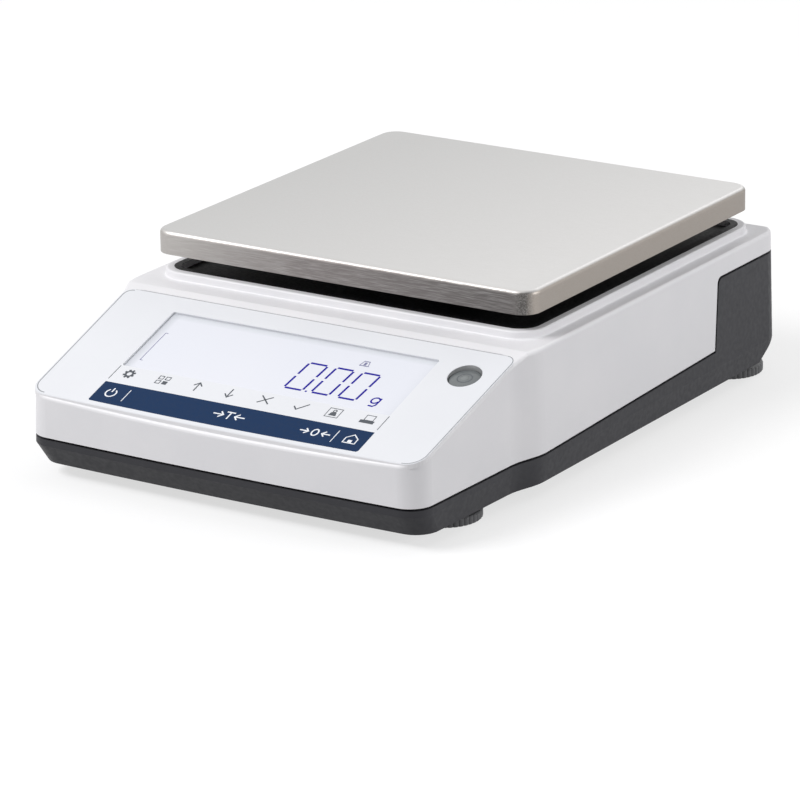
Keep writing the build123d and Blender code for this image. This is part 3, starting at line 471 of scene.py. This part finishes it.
def leaning_zero(left, width, low, high, lean, stroke):
    """A segment-display zero: six strokes with a gap half way up both sides."""
    def at(u, v):
        return (left + width * u + lean * v, low + (high - low) * v)
    cut = 0.045
    corner = 0.035
    inset = 0.06
    strokes = [
        [at(inset, 0), at(1 - inset, 0)],
        [at(inset, 1), at(1 - inset, 1)],
        [at(0, corner), at(0, 0.5 - cut)],
        [at(0, 0.5 + cut), at(0, 1 - corner)],
        [at(1, corner), at(1, 0.5 - cut)],
        [at(1, 0.5 + cut), at(1, 1 - corner)],
    ]
    return [shape for line in strokes for shape in ribbon(line, stroke)]


# Sloping terminal

SLOPE = 0.335
STRETCH = math.sqrt(1 + SLOPE ** 2)
INK_HEIGHT = 0.05


class Slope:
    """Drawing plane on the display window or the touch panel."""

    def __init__(self, node):
        mesh = nodes[node].data
        self.normal = Vector((0, -SLOPE, 1)).normalized()
        self.up = Vector((0, 1, SLOPE)).normalized()
        self.along = Vector((1, 0, 0))
        level = max(self.normal.dot(mesh.vertices[i].co)
                    for face in mesh.polygons if face.normal.z > 0.5 for i in face.vertices)
        origin = self.normal * level
        self.zero = origin - self.up * origin.y / self.up.y
        self.print_level = 0.0

    def point(self, x, y, height):
        """World place of plan x and y, in millimetres, at a height above the face."""
        return (self.zero + self.along * x * MM + self.up * (y * STRETCH * MM)
                + self.normal * height * MM)


def print_on(slope, name, shapes, material, height=INK_HEIGHT, base=None):
    """Thin raised print on the slope from a list of plan polygons."""
    base = slope.print_level if base is None else base

    def build(work):
        for shape in shapes:
            low = [work.verts.new(slope.point(x, y, base)) for x, y in shape]
            top = [work.verts.new(slope.point(x, y, base + height)) for x, y in shape]
            work.faces.new(top)
            work.faces.new(list(reversed(low)))
            for i in range(len(shape)):
                j = (i + 1) % len(shape)
                work.faces.new([low[i], low[j], top[j], top[i]])
    return mesh_piece(name, build, "body", material)


# Touch panel: its top stands PLATE_RISE above the frame's panel and covers the neck's edges

PLATE_RISE = 0.12
PLATE_DEPTH = 1.9
PLATE_BEVEL = 0.3
PLATE_REAR_Y = -66.3
PLATE_FRONT_Y = -137.75
PLATE_BOW = 1.0
PLATE_MARGIN = 0.2
PLATE_CORNERS = (7.7, 4.5)
NECK_FRONT = (91.9, -138.5)
NECK_SLANT = 0.0218
WINDOW_HALF = 63.3
WINDOW_SPAN = (-112.6, -76.0)
WINDOW_CORNER = 1.0
LEVEL_PLACE = (78.6, -82.5)
LEVEL_RADIUS = 6.9

# Joint lines round the panel: name, side, distance from the edge, width
SIDE_JOINTS = (("panel_joint_left", -1, 1.1, 0.45), ("panel_joint_right", 1, 0.45, 0.34))
REAR_JOINT = (0.42, 0.22)
JOINT_HEIGHT = 0.01


def plate_edge(y):
    """Half width of the touch panel at a plan depth, a little inside the neck's walls."""
    return NECK_FRONT[0] + NECK_SLANT * (y - NECK_FRONT[1]) - PLATE_MARGIN


def plate_half(inset):
    """Plan points of the touch panel's right half, from the front corner to the rear one."""
    front, rear = PLATE_CORNERS
    low, high = PLATE_FRONT_Y + front, PLATE_REAR_Y - rear
    points = arc((plate_edge(low) - front, low), front - inset, -90, 0, 8)
    return points + arc((plate_edge(high) - rear, high), rear - inset, 0, 90, 6)


def plate_outline(inset=0.0):
    """Plan points of the touch panel: bowed front edge, flared sides, four round corners."""
    right = plate_half(inset)
    left = [(-x, y) for x, y in reversed(right)]
    reach, front = right[0]
    steps = 8
    bow = [(reach * t / steps, front - PLATE_BOW * (1 - (t / steps) ** 2))
           for t in range(1 - steps, steps)]
    return right + left + bow


def add_terminal_plate(slope, foil, edge, joint, seam):
    """Touch panel with its foil, which reaches nearly to the edges of the neck."""
    window = rounded_outline(WINDOW_HALF, WINDOW_SPAN, WINDOW_CORNER)
    level = arc(LEVEL_PLACE, LEVEL_RADIUS, 0, 354, 59)
    sink = Vector((0, 0, -PLATE_DEPTH * MM))
    shoulder = PLATE_RISE - PLATE_BEVEL

    def build(work):
        def row(loop, height, shift=Vector((0, 0, 0))):
            return [work.verts.new(slope.point(x, y, height) + shift) for x, y in loop]

        def wall(upper, lower, finish):
            for i in range(len(upper)):
                face = work.faces.new([upper[i - 1], upper[i], lower[i], lower[i - 1]])
                face.material_index = finish

        rim = row(plate_outline(), shoulder)
        top = [row(plate_outline(PLATE_BEVEL), PLATE_RISE), row(window, PLATE_RISE),
               row(level, PLATE_RISE)]
        under = [row(plate_outline(), shoulder, sink), row(window, -PLATE_DEPTH),
                 row(level, -PLATE_DEPTH)]
        for rings in (top, under):
            edges = [work.edges.new((ring[i - 1], ring[i]))
                     for ring in rings for i in range(len(ring))]
            bmesh.ops.triangle_fill(work, use_beauty=True, edges=edges)
        wall(top[0], rim, 0)
        wall(rim, under[0], 1)
        wall(top[1], under[1], 0)
        wall(top[2], under[2], 0)

    plate = mesh_piece("touch_panel_plate", build, "body", foil)
    plate.data.materials.append(edge)
    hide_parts("touch_panel")
    for name, shaded_side, inset, width in SIDE_JOINTS:
        line = [(shaded_side * x, y) for x, y in plate_half(inset)]
        print_on(slope, name, ribbon(line, width), joint, JOINT_HEIGHT, PLATE_RISE)
    inset, width = REAR_JOINT
    reach = plate_half(0)[-1][0]
    rear = [(-reach, PLATE_REAR_Y - inset), (reach, PLATE_REAR_Y - inset)]
    print_on(slope, "panel_joint_rear", ribbon(rear, width), seam, JOINT_HEIGHT, PLATE_RISE)


# Key signs

KEY_X = (-56.6, -40.3, -24.0, -8.2, 8.4, 25.0, 40.4, 56.4)
KEY_Y = -117.0
KEY_STROKE = 0.55
KEY_ARROW = (5.2, 1.9)
KEY_LINE = (63.4, -113.0, -121.8, 0.3)


def add_key_signs(panel, grey):
    """The row of eight key signs between the display and the bar."""
    x, y, s = KEY_X, KEY_Y, KEY_STROKE
    print_on(panel, "sign_settings", gear(x[0], y, 2.7), grey)
    tiles = box_solid(x[1] + 1.6, y - 1.35, 1.1, 1.0)
    for dx, dy in ((-1.6, 1.45), (1.6, 1.45), (-1.6, -1.35)):
        tiles += box_outline(x[1] + dx, y + dy, 1.0, 0.9, 0.35)
    print_on(panel, "sign_tiles", tiles, grey)
    print_on(panel, "sign_up", arrow(x[2], y, 0, 1, *KEY_ARROW, s), grey)
    print_on(panel, "sign_down", arrow(x[3], y, 0, -1, *KEY_ARROW, s), grey)
    cross = ribbon([(x[4] - 2.6, y - 2.2), (x[4] + 2.6, y + 2.2)], s)
    cross += ribbon([(x[4] - 2.6, y + 2.2), (x[4] + 2.6, y - 2.2)], s)
    print_on(panel, "sign_cross", cross, grey)
    tick = ribbon([(x[5] - 2.8, y - 0.3), (x[5] - 1.0, y - 2.0), (x[5] + 3.0, y + 2.1)], s)
    print_on(panel, "sign_tick", tick, grey)
    weight = box_outline(x[6], y, 2.9, 2.6, 0.3)
    weight += [[(x[6] - 1.7, y - 1.7), (x[6] + 1.7, y - 1.7),
                (x[6] + 1.1, y + 0.3), (x[6] - 1.1, y + 0.3)]]
    weight += ribbon(arc((x[6], y + 1.1), 0.7, 0, 324, 9), 0.4, closed=True)
    print_on(panel, "sign_weight", weight, grey)
    printer = box_solid(x[7], y - 1.5, 3.2, 0.85)
    printer += box_outline(x[7] + 0.2, y + 0.9, 2.0, 1.5, 0.3)
    print_on(panel, "sign_printer", printer, grey)
    out, rear, front, width = KEY_LINE
    for name, shaded_side in (("key_line_left", -1), ("key_line_right", 1)):
        line = ribbon([(shaded_side * out, rear), (shaded_side * out, front)], width)
        print_on(panel, name, line, grey)


# Dark bar and its signs

BAR_HALF = 63.4
BAR_REAR_Y = -123.6
BAR_FRONT_Y = -136.0
BAR_BOW = 0.8
BAR_CORNER = (0.6, 0.7)
BAR_STEPS = 24
BAR_SIGN_Y = -129.8
BAR_STROKE = 0.6
POWER_X = -56.5
TARE_ARROWS = (5.0, 4.6, 1.7)
ZERO_X = 40.1
ZERO_OVAL = (1.35, 1.9)
ZERO_ARROWS = (5.0, 3.8, 1.5)
HOME_X = 56.7
BAR_LINE = (49.2, 3.6, 0.35)


def facing_arrows(x, y, reach, length, head, stroke):
    """Two arrows that point at each other from both sides of x."""
    return (arrow(x - reach, y, 1, 0, length, head, stroke)
            + arrow(x + reach, y, -1, 0, length, head, stroke))


def add_bar(panel, navy, white):
    """The dark bar with the power, tare, zero and home signs."""
    inset, corner = BAR_CORNER
    front = []
    for i in range(BAR_STEPS + 1):
        u = -1 + 2 * i / BAR_STEPS
        front.append((u * (BAR_HALF - inset), BAR_FRONT_Y - BAR_BOW * (1 - u * u)))
    outline = [(-BAR_HALF, BAR_REAR_Y), (-BAR_HALF, BAR_FRONT_Y + corner), *front,
               (BAR_HALF, BAR_FRONT_Y + corner), (BAR_HALF, BAR_REAR_Y)]
    print_on(panel, "key_bar", [outline], navy)
    y, s, base = BAR_SIGN_Y, BAR_STROKE, panel.print_level + INK_HEIGHT
    power = ribbon(arc((POWER_X, y), 2.3, 125, 415, 20), s)
    power += ribbon([(POWER_X, y + 0.6), (POWER_X, y + 3.1)], s)
    print_on(panel, "sign_power", power, white, base=base)
    tare = facing_arrows(0, y, *TARE_ARROWS, s)
    tare += ribbon([(-1.9, y + 2.0), (1.9, y + 2.0)], s)
    tare += ribbon([(0, y + 1.8), (0, y - 2.1)], s)
    print_on(panel, "sign_tare", tare, white, base=base)
    zero = facing_arrows(ZERO_X, y, *ZERO_ARROWS, s)
    wide, tall = ZERO_OVAL
    oval = [(ZERO_X + wide * u, y + tall * v) for u, v in ring_points(16, 1)]
    zero += ribbon(oval, s, closed=True)
    print_on(panel, "sign_zero", zero, white, base=base)
    left, right = HOME_X - 2.7, HOME_X + 2.7
    home = ribbon([(left, y - 2.3), (right, y - 2.3), (right, y + 0.6), (HOME_X, y + 2.8),
                   (left, y + 0.6)], 0.45, closed=True)
    home += box_solid(HOME_X, y - 1.4, 0.9, 0.9)
    print_on(panel, "sign_home", home, white, base=base)
    out, half, width = BAR_LINE
    for name, shaded_side in (("bar_line_left", -1), ("bar_line_right", 1)):
        line = ribbon([(shaded_side * out, y - half), (shaded_side * out, y + half)], width)
        print_on(panel, name, line, white, base=base)


# Reading on the display

DIGIT_SPAN = (-106.6, -90.1)
DIGITS = ((10.2, 8.6), (22.9, 8.2), (35.2, 8.2))
DIGIT_LEAN = 1.5
DIGIT_STROKE = 0.95
POINT_PLACE = (20.6, -106.7)
UNIT_PLACE = (51.6, -104.6)
UNIT_STROKE = 0.7
BRACKET = ((-57.6, -88.3), (-58.8, -88.3), (-58.8, -106.5), (-57.6, -106.5))


def add_display(window, blue, grey_blue):
    """The lit reading, its unit, and the small signs on the display."""
    for i, (left, width) in enumerate(DIGITS):
        zero = leaning_zero(left, width, *DIGIT_SPAN, DIGIT_LEAN, DIGIT_STROKE)
        print_on(window, "digit_" + str(i + 1), zero, blue)
    print_on(window, "decimal_point", box_solid(*POINT_PLACE, 0.4, 0.4), blue)
    y = UNIT_PLACE[1]
    bowl = [(px + 0.12 * (py - y), py) for px, py in arc(UNIT_PLACE, 1.7, 30, 345, 16)]
    tail = [(53.6, y + 1.7), (53.2, y - 2.6), (52.2, y - 3.6), (50.2, y - 3.4)]
    unit = ribbon(bowl, UNIT_STROKE) + ribbon(tail, UNIT_STROKE)
    print_on(window, "unit_sign", unit, blue)
    pan, plate, wide, narrow = -83.4, -86.2, 0.4, 0.3
    scale = ribbon([(32.2, plate), (36.6, plate)], wide) + ribbon([(33.0, pan), (35.8, pan)], wide)
    scale += ribbon([(33.2, pan), (32.4, plate)], narrow)
    scale += ribbon([(35.6, pan), (36.4, plate)], narrow)
    scale += box_solid(34.4, -84.9, 0.55, 0.9)
    print_on(window, "weighing_sign", scale, grey_blue)
    print_on(window, "capacity_bracket", ribbon(BRACKET, 0.28), grey_blue)


# Black ring on the housing's rim: painted shade under the pan, in the form of the draught plate's
# edge

RIM_HALF = 83.45
RIM_SPAN = (-45.15, 125.05)
RIM_CORNER = 5.6
RIM_WIDTH = 3.1
RIM_LEVEL = 65.0
RIM_GAUGE = 0.12


def add_painted_shade_rim(material):
    """Black ring on the inner part of the housing's rim that puts painted shade where the pan
    shades it, shaped as a turned-out edge of the draught plate.
    """
    inner = rounded_outline(RIM_HALF, RIM_SPAN, RIM_CORNER)
    span = (RIM_SPAN[0] - RIM_WIDTH, RIM_SPAN[1] + RIM_WIDTH)
    outer = rounded_outline(RIM_HALF + RIM_WIDTH, span, RIM_CORNER + RIM_WIDTH)
    top = RIM_LEVEL + RIM_GAUGE

    def build(work):
        rows = [[work.verts.new((x * MM, y * MM, z * MM)) for x, y in line]
                for line, z in ((inner, RIM_LEVEL), (outer, RIM_LEVEL), (outer, top), (inner, top))]
        bridge(work, rows, closed=True)

    mesh_piece("painted_shade_rim", build, "body", material)


# Level: a sleeve in the panel's hole and a cover glass that follows the slope

SLEEVE_RADII = (6.72, 6.86)
SLEEVE_SINK = 0.05
LENS_LEVEL = 53.58
LENS_TILT = 0.25
LENS_FOOT = 51.74
LENS_REACH = 6.68
LENS_DOME = ((6.68, 0.0), (6.1, 0.2), (4.6, 0.36), (2.4, 0.46))
LENS_CROWN = 0.5
BUBBLE_RADIUS = 1.7
BUBBLE_FLATNESS = 0.12
BUBBLE_SINK = 0.03
TARGET_PROFILE = ((2.85, 0.38), (3.15, 0.38), (3.15, 0.475), (2.85, 0.475))
LEVEL_COUNT = 64


def level_circle(work, radius, height):
    """Circle of vertices round the level's centre; height gives z in mm for a plan y."""
    return [work.verts.new((x * MM, y * MM, height(y) * MM))
            for x, y in ring_points(LEVEL_COUNT, radius, LEVEL_PLACE)]


def add_level(panel, ring_ink, sleeve_look):
    """Sleeve, tilted cover glass, bubble and target ring of the level."""
    centre_x, centre_y = LEVEL_PLACE
    cup_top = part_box("level_body")[1][2] / MM

    def lens_height(rise):
        return lambda y: LENS_LEVEL + LENS_TILT * (y - centre_y) + rise

    def sleeve(work):
        def foot(_):
            return cup_top

        def brim(y):
            return panel.point(0, y, -SLEEVE_SINK).z / MM
        inner, outer = SLEEVE_RADII
        rows = [level_circle(work, inner, foot), level_circle(work, inner, brim),
                level_circle(work, outer, brim), level_circle(work, outer, foot)]
        bridge(work, rows, closed=True)

    def lens(work):
        rows = [level_circle(work, LENS_REACH, lambda y: LENS_FOOT)]
        rows += [level_circle(work, radius, lens_height(rise)) for radius, rise in LENS_DOME]
        bridge(work, rows)
        work.faces.new(rows[0])
        top = rows[-1]
        crown = work.verts.new((centre_x * MM, centre_y * MM, (LENS_LEVEL + LENS_CROWN) * MM))
        for i in range(LEVEL_COUNT):
            work.faces.new([top[i - 1], top[i], crown])

    def bubble(work):
        bmesh.ops.create_uvsphere(work, u_segments=24, v_segments=12, radius=BUBBLE_RADIUS * MM)
        middle = Vector((centre_x, centre_y, LENS_LEVEL + LENS_CROWN - BUBBLE_SINK)) * MM
        for vertex in work.verts:
            vertex.co.z = vertex.co.z * BUBBLE_FLATNESS + LENS_TILT * vertex.co.y
            vertex.co += middle

    def ring(work):
        rows = [level_circle(work, radius, lens_height(rise)) for radius, rise in TARGET_PROFILE]
        bridge(work, rows, closed=True)

    glass = Finish("level_cover", (0.125, 0.138, 0.143), 0.25, Coat_Weight=0.15,
                   Coat_Roughness=0.1)
    glass.tint(glass.noise(160, 2), (0.14, 0.153, 0.158))
    glass.relief(glass.noise(900, 1), 0.02, 0.03 * MM)
    air = Finish("bubble_air", (0.17, 0.185, 0.188), 0.22)
    air.tint(air.noise(400, 1), (0.19, 0.205, 0.208))
    air.relief(air.noise(1200, 1), 0.05, 0.02 * MM)
    mesh_piece("level_sleeve", sleeve, "body", sleeve_look, smooth=True)
    mesh_piece("level_lens", lens, "body", glass.material, smooth=True)
    mesh_piece("level_bubble", bubble, "body", air.material, smooth=True)
    mesh_piece("level_ring", ring, "body", ring_ink)


# Grips of the levelling feet

FEET = ("front_left", "front_right", "rear_left", "rear_right")
GRIP_RIDGES = 40
GRIP_POINTS = 6
GRIP_DEPTH = 0.42
GRIP_ROUNDING = 0.6
GRIP_CHAMFER = 0.4
GRIP_BORE = 3.9


def add_grip(place, material):
    """Foot wheel with fine rounded ridges, in place of the plain one."""
    node = "foot_wheel_" + place
    low, high = (Vector(corner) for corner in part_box(node))
    centre = ((low.x + high.x) / 2, (low.y + high.y) / 2)
    reach = (high.x - low.x) / 2 / MM
    chamfer = GRIP_CHAMFER * MM

    def ridged(inset):
        def radius(turn):
            ridge = abs(math.sin(GRIP_RIDGES * turn / 2)) ** GRIP_ROUNDING
            return (reach - GRIP_DEPTH + GRIP_DEPTH * ridge - inset) * MM
        return radius

    def build(work):
        profile = ((GRIP_BORE * MM, low.z), (ridged(GRIP_CHAMFER), low.z),
                   (ridged(0), low.z + chamfer), (ridged(0), high.z - chamfer),
                   (ridged(GRIP_CHAMFER), high.z), (GRIP_BORE * MM, high.z))
        rows = [[work.verts.new((x, y, z))
                 for x, y in ring_points(GRIP_RIDGES * GRIP_POINTS, radius, centre)]
                for radius, z in profile]
        bridge(work, rows, closed=True)

    grip = mesh_piece("foot_grip_" + place, build, "foot_" + place, material)
    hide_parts(node)


# Materials on the frame's nodes

def dress_nodes():
    """Gives each node of the frame its finish, by name."""
    steel = turned_steel("zinc_steel")
    alloy = milled_alloy()
    board = circuit_board()
    wheel = moulded("wheel_plastic", (0.105, 0.106, 0.112), 0.5, grain=1500, shine=0.4)
    black = moulded("black_plastic", (0.010, 0.010, 0.011), 0.5, shine=0.12)
    natural = moulded("natural_plastic", (0.60, 0.56, 0.46), 0.4)
    rubber = soft_rubber()
    tin = turned_steel("tin_shell", (0.56, 0.56, 0.55), 0.25)
    iron = turned_steel("nickel_iron", (0.46, 0.46, 0.48), 0.33)
    looks = {
        "bottom_housing": powder_dark(),
        "top_housing": lacquer_white(),
        "touch_panel": panel_foil(),
        "display_window": display_face(),
        "lcd_frame": natural,
        "lcd_glass": clear_fluid("cell_glass", (0.62, 0.66, 0.68)),
        "display_board": board,
        "display_screws": steel,
        "level_body": moulded("level_cup", (0.50, 0.51, 0.53), 0.4),
        "level_glass": clear_fluid("level_fluid", (0.30, 0.33, 0.34), 0.2),
        "draught_plate": black,
        "weighing_pan": brushed_pan(),
        "pan_support": moulded("support_coat", (0.014, 0.014, 0.015), 0.5, grain=900, depth=0.2),
        "support_buffers": rubber,
        "load_cone": turned_steel("cone_steel", (0.62, 0.62, 0.63), 0.22),
        "load_receiver": alloy,
        "lower_guide": alloy,
        "upper_guide": alloy,
        "cell_frame": alloy,
        "lever": alloy,
        "coil_former": natural,
        "coil": winding(),
        "magnet_pot": iron,
        "magnet_core": iron,
        "position_sensor": black,
        "cell_screws": steel,
        "overload_stops": steel,
        "hook_cover": wheel,
        "cover_screw": steel,
        "foot_bushes": turned_steel("bush_brass", (0.62, 0.45, 0.2), 0.3),
        "main_board": board,
        "board_screws": steel,
        "housing_screws": steel,
        "io_board": board,
        "serial_socket": tin,
        "serial_jackscrews": steel,
        "usb_b_socket": tin,
        "usb_a_socket": tin,
        "power_socket": black,
    }
    for place in FEET:
        looks["foot_wheel_" + place] = wheel
        looks["foot_stud_" + place] = steel
        looks["foot_sole_" + place] = rubber
    for name, node in nodes.items():
        node.data.materials.clear()
        node.data.materials.append(looks[name])


# Floor and light

def add_floor():
    """Pale round floor that keeps the soft shadow and shows white to the camera."""
    def build(work):
        bmesh.ops.create_circle(work, cap_ends=True, radius=FLOOR_RADIUS, segments=FLOOR_SIDES)
    tone = (FLOOR_TONE, FLOOR_TONE, FLOOR_TONE)
    look = Finish("floor_white", tone, 0.9, Specular_IOR_Level=0.1)
    look.tint(look.noise(2, 2), (FLOOR_TONE - 0.01, FLOOR_TONE - 0.01, FLOOR_TONE - 0.005))
    seen = any_ray(look.tree, "Is Camera Ray", "Is Glossy Ray")
    lift = look.remap(seen, 0.0, FLOOR_LIFT, 0, 1)
    look.shader.inputs["Emission Color"].default_value = (1, 1, 1, 1)
    look.tree.links.new(lift, look.shader.inputs["Emission Strength"])
    floor = new_piece("floor", build, look.material, outward=False)


def add_world():
    """White surroundings for the camera and for reflections, softer as a light."""
    world = bpy.data.worlds.new("studio")
    bpy.context.scene.world = world
    world.use_nodes = True
    tree = world.node_tree
    background = tree.nodes["Background"]
    background.inputs["Color"].default_value = (1, 1, 1, 1)
    seen = any_ray(tree, "Is Camera Ray", "Is Glossy Ray", "Is Transmission Ray")
    strength = tree.nodes.new("ShaderNodeMapRange")
    strength.inputs["To Min"].default_value = WORLD_DIFFUSE
    strength.inputs["To Max"].default_value = 1.0
    tree.links.new(seen, strength.inputs["Value"])
    tree.links.new(strength.outputs["Result"], background.inputs["Strength"])


def add_lights():
    """Big soft key from the upper left, a weak fill from the right, a rim light behind."""
    for name, place, size, power in LAMPS:
        data = bpy.data.lights.new(name, "AREA")
        data.shape = "RECTANGLE"
        data.size, data.size_y = size
        data.energy = power
        lamp = bpy.data.objects.new(name, data)
        lamp.location = place
        direction = Vector(place) - Vector(LAMP_AIM)
        lamp.rotation_euler = direction.to_track_quat("Z", "Y").to_euler()
        bpy.context.scene.collection.objects.link(lamp)


add_camera()
bpy.context.scene.view_settings.view_transform = "Standard"
dress_nodes()
panel_plane = Slope("touch_panel")
window_plane = Slope("display_window")
finishes = bpy.data.materials
grey_ink = ink("ink_grey", (0.10, 0.11, 0.125))
add_terminal_plate(panel_plane, finishes["panel_foil"], finishes["lacquer_white"],
                   ink("foil_edge", (0.30, 0.31, 0.33)), ink("foil_seam", (0.50, 0.51, 0.53)))
panel_plane.print_level = PLATE_RISE
add_key_signs(panel_plane, grey_ink)
add_bar(panel_plane, ink("ink_navy", (0.006, 0.027, 0.083)), ink("ink_white", (0.86, 0.88, 0.92)))
add_display(window_plane, ink("segment_blue", (0.014, 0.010, 0.30)),
            ink("segment_dim", (0.22, 0.22, 0.36)))
add_level(panel_plane, grey_ink, level_wall())
# Black ring as painted shade under the pan, on the inner part of the rim
add_painted_shade_rim(finishes["black_plastic"])
for foot_place in FEET:
    add_grip(foot_place, finishes["wheel_plastic"])
add_floor()
add_world()
add_lights()
